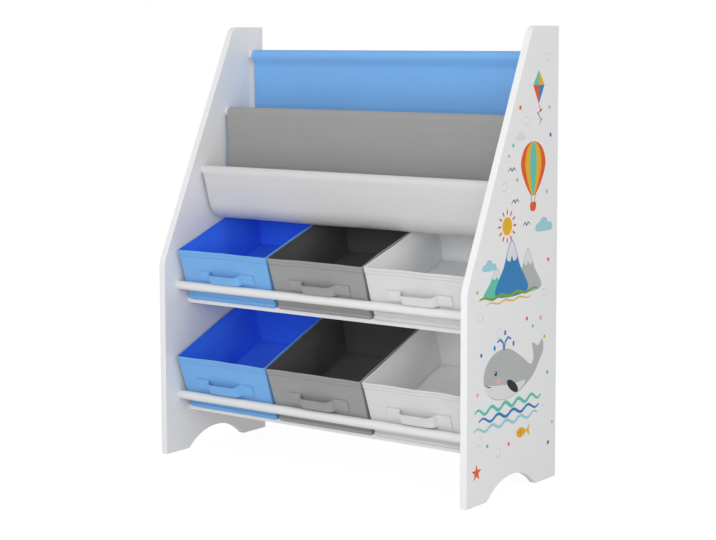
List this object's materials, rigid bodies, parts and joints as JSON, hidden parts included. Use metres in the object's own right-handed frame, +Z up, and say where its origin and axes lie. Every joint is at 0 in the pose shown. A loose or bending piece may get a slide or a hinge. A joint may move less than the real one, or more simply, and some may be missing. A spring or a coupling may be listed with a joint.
{
  "type": "children's storage shelf",
  "caption": "Children's storage shelf: hanging fabric book pockets above two sloping levels of removable fabric bins held by guard rails between two side panels.",
  "frame": {"origin": "on the floor, in the middle of the rectangle that the two side panels stand in", "axes": "+X to the right, +Y from the open front to the back, +Z up"},
  "size_m": [0.63, 0.264, 0.733],
  "materials": {
    "panel_paint": "white satin paint on board",
    "board": "white satin paint on board",
    "bar_paint": "white satin paint on round bar",
    "insert_metal": "plain",
    "bolt_steel": "zinc plated",
    "cover_plastic": "white matt",
    "fabric_blue": "plain weave",
    "fabric_grey": "plain weave",
    "fabric_white": "plain weave",
    "bin_blue": "non-woven fabric over card",
    "bin_grey": "non-woven fabric over card",
    "bin_white": "non-woven fabric over card",
    "bin_blue_base": "non-woven fabric over card",
    "bin_grey_base": "non-woven fabric over card",
    "bin_white_base": "non-woven fabric over card"
  },
  "bodies": {
    "frame": {"side_panel_left": "panel_paint", "side_panel_right": "panel_paint", "upper_shelf_board": "board", "lower_shelf_board": "board", "upper_guard_rail": "bar_paint", "lower_guard_rail": "bar_paint", "upper_front_crossbar": "bar_paint", "upper_rear_crossbar": "bar_paint", "lower_front_crossbar": "bar_paint", "lower_rear_crossbar": "bar_paint", "top_sling_rod": "bar_paint", "middle_sling_rod": "bar_paint", "front_sling_rod": "bar_paint", "sling_back_cloth": "fabric_blue", "sling_middle_cloth": "fabric_grey", "sling_front_cloth": "fabric_white", "rod_inserts_left": "insert_metal", "rod_inserts_right": "insert_metal", "bolts_left": "bolt_steel", "bolts_right": "bolt_steel", "bolt_covers_left": "cover_plastic", "bolt_covers_right": "cover_plastic"},
    "upper_blue": {"upper_blue_bin": "bin_blue", "upper_blue_base": "bin_blue_base", "upper_blue_handle": "bin_blue"},
    "upper_grey": {"upper_grey_bin": "bin_grey", "upper_grey_base": "bin_grey_base", "upper_grey_handle": "bin_grey"},
    "upper_white": {"upper_white_bin": "bin_white", "upper_white_base": "bin_white_base", "upper_white_handle": "bin_white"},
    "lower_blue": {"lower_blue_bin": "bin_blue", "lower_blue_base": "bin_blue_base", "lower_blue_handle": "bin_blue"},
    "lower_grey": {"lower_grey_bin": "bin_grey", "lower_grey_base": "bin_grey_base", "lower_grey_handle": "bin_grey"},
    "lower_white": {"lower_white_bin": "bin_white", "lower_white_base": "bin_white_base", "lower_white_handle": "bin_white"}
  },
  "joints": [
    {"name": "upper_blue_slide", "type": "slide", "parent": "frame", "child": "upper_blue", "axis": [0, 0.9426, 0.3338], "range_m": [0, 0.27]},
    {"name": "upper_grey_slide", "type": "slide", "parent": "frame", "child": "upper_grey", "axis": [0, 0.9426, 0.3338], "range_m": [0, 0.27]},
    {"name": "upper_white_slide", "type": "slide", "parent": "frame", "child": "upper_white", "axis": [0, 0.9426, 0.3338], "range_m": [0, 0.27]},
    {"name": "lower_blue_slide", "type": "slide", "parent": "frame", "child": "lower_blue", "axis": [0, 0.9219, 0.3875], "range_m": [0, 0.27]},
    {"name": "lower_grey_slide", "type": "slide", "parent": "frame", "child": "lower_grey", "axis": [0, 0.9219, 0.3875], "range_m": [0, 0.27]},
    {"name": "lower_white_slide", "type": "slide", "parent": "frame", "child": "lower_white", "axis": [0, 0.9219, 0.3875], "range_m": [0, 0.27]}
  ]
}
